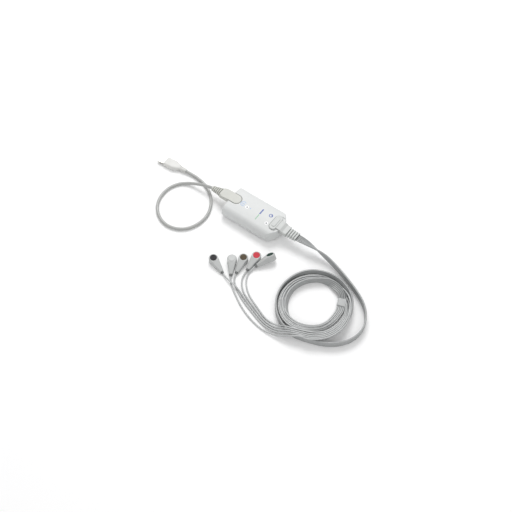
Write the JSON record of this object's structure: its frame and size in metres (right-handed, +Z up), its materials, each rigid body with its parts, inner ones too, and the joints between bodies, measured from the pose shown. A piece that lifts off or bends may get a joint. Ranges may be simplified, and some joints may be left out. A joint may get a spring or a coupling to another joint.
{
  "type": "ecg machine",
  "caption": "Small USB electrocardiograph recorder module with pull-out computer cable and coiled ribbon patient cable ending in colour-capped electrode snap leads.",
  "frame": {"origin": "on the desk under the middle of the recorder module", "axes": "+X along the module towards the patient cable, -X towards the computer cable, +Z up from the desk"},
  "size_m": [0.4182, 0.1704, 0.0246],
  "materials": {
    "case_plastic": "fine-textured ABS, off-white",
    "screw_steel": "zinc-plated steel",
    "foot_rubber": "matt rubber",
    "board_green": "solder mask",
    "shield_steel": "tinned steel",
    "chip_black": "moulded epoxy",
    "converter_black": "potted case",
    "capacitor_can": "bare can",
    "resistor_blue": "lacquered",
    "led_white": "clear epoxy",
    "light_pipe": "tinted acrylic",
    "nickel": "nickel plate",
    "insulator_black": "glass-filled nylon",
    "insulator_white": "moulded thermoplastic",
    "contact_gold": "gold flash",
    "usb_grey": "soft PVC, warm light grey",
    "usb_cord_grey": "PVC jacket",
    "usb_plug_grey": "soft PVC",
    "patient_grey": "soft TPE",
    "ribbon_grey": "bonded TPE ribbon",
    "lead_grey": "TPE jacket",
    "snap_grey": "moulded TPE",
    "collar_grey": "TPE boot, dark grey",
    "cap_black": "moulded disc",
    "cap_white": "moulded disc",
    "cap_brown": "moulded disc",
    "cap_red": "moulded disc",
    "cap_green": "moulded disc"
  },
  "bodies": {
    "recorder": {"base_shell": "case_plastic", "top_shell": "case_plastic", "housing_screws": "screw_steel", "rubber_feet": "foot_rubber", "main_board": "board_green", "board_screws": "screw_steel", "shield_can": "shield_steel", "front_end_chip": "chip_black", "processor_chip": "chip_black", "digital_isolators": "chip_black", "isolation_converter": "converter_black", "capacitors": "capacitor_can", "protection_resistors": "resistor_blue", "crystal": "shield_steel", "status_leds": "led_white", "light_pipes": "light_pipe", "usb_receptacle": "nickel", "usb_receptacle_tongue": "insulator_black", "usb_receptacle_contacts": "contact_gold", "patient_receptacle": "insulator_black", "patient_receptacle_tongue": "insulator_black", "patient_receptacle_contacts": "contact_gold"},
    "usb_cable": {"usb_plug_body": "usb_grey", "usb_plug_insert": "nickel", "usb_plug_core": "insulator_black", "usb_strain_relief": "usb_grey", "usb_cord": "usb_cord_grey", "computer_plug_relief": "usb_plug_grey", "computer_plug_body": "usb_plug_grey", "computer_plug_shell": "nickel", "computer_plug_tongue": "insulator_white", "computer_plug_contacts": "contact_gold"},
    "patient_cable": {"patient_plug_body": "patient_grey", "patient_plug_grip": "patient_grey", "patient_plug_insert": "nickel", "patient_plug_core": "insulator_black", "patient_strain_relief": "patient_grey", "ribbon_drop": "ribbon_grey", "ribbon_lay": "ribbon_grey", "cable_coil": "ribbon_grey", "lead_yoke": "patient_grey", "lead_wire_black": "lead_grey", "snap_body_black": "snap_grey", "snap_cap_black": "cap_black", "lead_wire_white": "lead_grey", "snap_body_white": "snap_grey", "snap_cap_white": "cap_white", "lead_wire_brown": "lead_grey", "snap_body_brown": "snap_grey", "snap_cap_brown": "cap_brown", "lead_wire_red": "lead_grey", "snap_body_red": "snap_grey", "snap_cap_red": "cap_red", "lead_wire_green": "lead_grey", "snap_body_green": "snap_grey", "snap_cap_green": "cap_green", "snap_collars": "collar_grey", "snap_sockets": "nickel", "snap_springs": "screw_steel"}
  },
  "joints": [
    {"name": "usb_plug_slide", "type": "slide", "parent": "recorder", "child": "usb_cable", "axis": [-1, 0, 0], "range_m": [0, 0.018]},
    {"name": "patient_plug_slide", "type": "slide", "parent": "recorder", "child": "patient_cable", "axis": [1, 0, 0], "range_m": [0, 0.014]}
  ]
}
